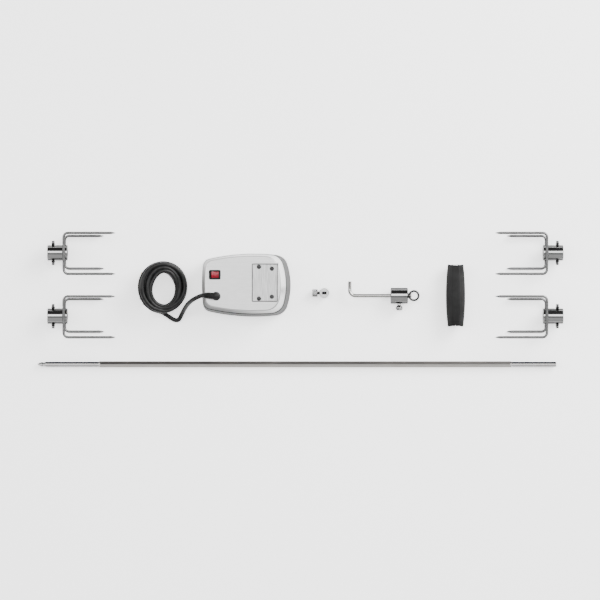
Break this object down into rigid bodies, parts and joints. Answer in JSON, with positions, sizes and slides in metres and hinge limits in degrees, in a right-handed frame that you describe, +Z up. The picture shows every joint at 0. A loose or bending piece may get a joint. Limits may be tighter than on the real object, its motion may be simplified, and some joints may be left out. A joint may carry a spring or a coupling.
{
  "type": "rotisserie spit roaster kit",
  "caption": "Grill rotisserie kit laid out flat: hexagonal spit, pronged forks, brushed steel drive motor with cord, stop collar, sliding counterbalance and barrel handle.",
  "frame": {"origin": "on the table under the middle of the laid-out kit, measured without the cord", "axes": "+X along the spit towards its plain end, +Y from the spit towards the motor, +Z up off the table"},
  "size_m": [0.842, 0.2168, 0.0668],
  "materials": {
    "chrome_hub": "bright plated, turned",
    "prong_steel": "plain drawn rod, satin",
    "spit_steel": "satin hexagonal bar with bright turned ends",
    "screw_chrome": "plated",
    "arm_steel": "plated rod, satin",
    "dark_steel": "dark, slightly oily",
    "cover_steel": "brushed along the width",
    "housing_grey": "duller drawn sheet",
    "grip_plastic": "fine matt grain",
    "switch_black": "half gloss",
    "rocker_red": "see-through red",
    "boot_rubber": "half matt",
    "cord_pvc": "half gloss",
    "brass": "plain",
    "gear_nylon": "moulded",
    "zinc_steel": "zinc plated",
    "lead_pvc": "insulated leads"
  },
  "bodies": {
    "motor_unit": {"front_cover": "cover_steel", "case_gasket": "boot_rubber", "rear_housing": "housing_grey", "drive_cover_plate": "cover_steel", "cover_plate_screws": "dark_steel", "switch_case": "switch_black", "switch_terminals": "brass", "cord_boot": "boot_rubber", "boot_nut": "dark_steel", "gear_motor": "zinc_steel", "motor_screws": "screw_chrome", "idler_axle": "zinc_steel", "shaft_bushes": "brass", "lower_gear_plate": "zinc_steel", "upper_gear_plate": "zinc_steel", "gearbox_posts": "zinc_steel", "hanger_plate": "zinc_steel", "hanger_screws": "screw_chrome", "case_screws": "screw_chrome", "wire_leads": "lead_pvc", "power_cord": "cord_pvc", "cord_coil": "cord_pvc", "plug_body": "boot_rubber", "plug_blades": "brass"},
    "rocker": {"switch_rocker": "rocker_red"},
    "output_drive": {"output_gear": "gear_nylon", "output_shaft": "zinc_steel"},
    "idler": {"idler_gear": "gear_nylon"},
    "pinion": {"motor_pinion": "zinc_steel"},
    "spit": {"spit_rod": "spit_steel"},
    "collar": {"stop_collar": "chrome_hub"},
    "collar_thumbscrew": {"collar_screw": "screw_chrome"},
    "counterbalance": {"balance_arm": "arm_steel"},
    "weight": {"balance_weight": "chrome_hub"},
    "weight_thumbscrew": {"weight_screw": "screw_chrome"},
    "eye": {"balance_eye": "dark_steel"},
    "handle": {"handle_grip": "grip_plastic", "handle_sleeve": "zinc_steel"},
    "fork_1": {"fork_1_hub": "chrome_hub", "fork_1_long_prongs": "prong_steel", "fork_1_short_prongs": "prong_steel"},
    "fork_1_thumbscrew_a": {"fork_1_screw_a": "screw_chrome"},
    "fork_1_thumbscrew_b": {"fork_1_screw_b": "screw_chrome"},
    "fork_2": {"fork_2_hub": "chrome_hub", "fork_2_long_prongs": "prong_steel", "fork_2_short_prongs": "prong_steel"},
    "fork_2_thumbscrew_a": {"fork_2_screw_a": "screw_chrome"},
    "fork_2_thumbscrew_b": {"fork_2_screw_b": "screw_chrome"},
    "fork_3": {"fork_3_hub": "chrome_hub", "fork_3_long_prongs": "prong_steel", "fork_3_short_prongs": "prong_steel"},
    "fork_3_thumbscrew_a": {"fork_3_screw_a": "screw_chrome"},
    "fork_3_thumbscrew_b": {"fork_3_screw_b": "screw_chrome"},
    "fork_4": {"fork_4_hub": "chrome_hub", "fork_4_long_prongs": "prong_steel", "fork_4_short_prongs": "prong_steel"},
    "fork_4_thumbscrew_a": {"fork_4_screw_a": "screw_chrome"},
    "fork_4_thumbscrew_b": {"fork_4_screw_b": "screw_chrome"}
  },
  "joints": [
    {"name": "rocker_tip", "type": "hinge", "parent": "motor_unit", "child": "rocker", "pos_m": [-0.1355, 0.0389, 0.054], "axis": [0, 1, 0], "range_deg": [-20, 0]},
    {"name": "drive_spin", "type": "hinge", "parent": "motor_unit", "child": "output_drive", "pos_m": [-0.056, 0.0262, 0.02], "axis": [0, 0, 1], "continuous": true},
    {"name": "idler_spin", "type": "hinge", "parent": "motor_unit", "child": "idler", "pos_m": [-0.081, 0.0262, 0.039], "axis": [0, 0, 1], "continuous": true},
    {"name": "pinion_spin", "type": "hinge", "parent": "motor_unit", "child": "pinion", "pos_m": [-0.106, 0.0262, 0.036], "axis": [0, 0, 1], "continuous": true},
    {"name": "spit_lift", "type": "slide", "parent": "motor_unit", "child": "spit", "axis": [0, 0, 1], "range_m": [0, 0.15]},
    {"name": "fork_1_lift", "type": "slide", "parent": "motor_unit", "child": "fork_1", "axis": [0, 0, 1], "range_m": [0, 0.15]},
    {"name": "fork_1_screw_a_travel", "type": "slide", "parent": "fork_1", "child": "fork_1_thumbscrew_a", "axis": [0, 0.9966, 0.0819], "range_m": [-0.001, 0.006]},
    {"name": "fork_1_screw_b_travel", "type": "slide", "parent": "fork_1", "child": "fork_1_thumbscrew_b", "axis": [0, -0.9966, -0.0819], "range_m": [-0.001, 0.006]},
    {"name": "fork_2_lift", "type": "slide", "parent": "motor_unit", "child": "fork_2", "axis": [0, 0, 1], "range_m": [0, 0.15]},
    {"name": "fork_2_screw_a_travel", "type": "slide", "parent": "fork_2", "child": "fork_2_thumbscrew_a", "axis": [0, 0.9966, 0.0819], "range_m": [-0.001, 0.006]},
    {"name": "fork_2_screw_b_travel", "type": "slide", "parent": "fork_2", "child": "fork_2_thumbscrew_b", "axis": [0, -0.9966, -0.0819], "range_m": [-0.001, 0.006]},
    {"name": "fork_3_lift", "type": "slide", "parent": "motor_unit", "child": "fork_3", "axis": [0, 0, 1], "range_m": [0, 0.15]},
    {"name": "fork_3_screw_a_travel", "type": "slide", "parent": "fork_3", "child": "fork_3_thumbscrew_a", "axis": [0, -0.9966, -0.0819], "range_m": [-0.001, 0.006]},
    {"name": "fork_3_screw_b_travel", "type": "slide", "parent": "fork_3", "child": "fork_3_thumbscrew_b", "axis": [0, 0.9966, 0.0819], "range_m": [-0.001, 0.006]},
    {"name": "fork_4_lift", "type": "slide", "parent": "motor_unit", "child": "fork_4", "axis": [0, 0, 1], "range_m": [0, 0.15]},
    {"name": "fork_4_screw_a_travel", "type": "slide", "parent": "fork_4", "child": "fork_4_thumbscrew_a", "axis": [0, -0.9966, -0.0819], "range_m": [-0.001, 0.006]},
    {"name": "fork_4_screw_b_travel", "type": "slide", "parent": "fork_4", "child": "fork_4_thumbscrew_b", "axis": [0, 0.9966, 0.0819], "range_m": [-0.001, 0.006]},
    {"name": "collar_lift", "type": "slide", "parent": "motor_unit", "child": "collar", "axis": [0, 0, 1], "range_m": [0, 0.15]},
    {"name": "collar_screw_travel", "type": "slide", "parent": "collar", "child": "collar_thumbscrew", "axis": [-1, 0, 0], "range_m": [0, 0.009]},
    {"name": "counterbalance_lift", "type": "slide", "parent": "motor_unit", "child": "counterbalance", "axis": [0, 0, 1], "range_m": [0, 0.15]},
    {"name": "weight_travel", "type": "slide", "parent": "counterbalance", "child": "weight", "axis": [-1, 0, 0], "range_m": [0, 0.054]},
    {"name": "weight_screw_travel", "type": "slide", "parent": "weight", "child": "weight_thumbscrew", "axis": [0, -1, 0], "range_m": [0, 0.006]},
    {"name": "eye_turn", "type": "hinge", "parent": "counterbalance", "child": "eye", "pos_m": [0.177, 0.0056, 0.0127], "axis": [1, 0, 0], "continuous": true},
    {"name": "handle_lift", "type": "slide", "parent": "motor_unit", "child": "handle", "axis": [0, 0, 1], "range_m": [0, 0.15]}
  ],
  "couplings": [
    {"joint": "idler_spin", "follows": "drive_spin", "ratio": -3.1667},
    {"joint": "pinion_spin", "follows": "drive_spin", "ratio": 12.667}
  ]
}
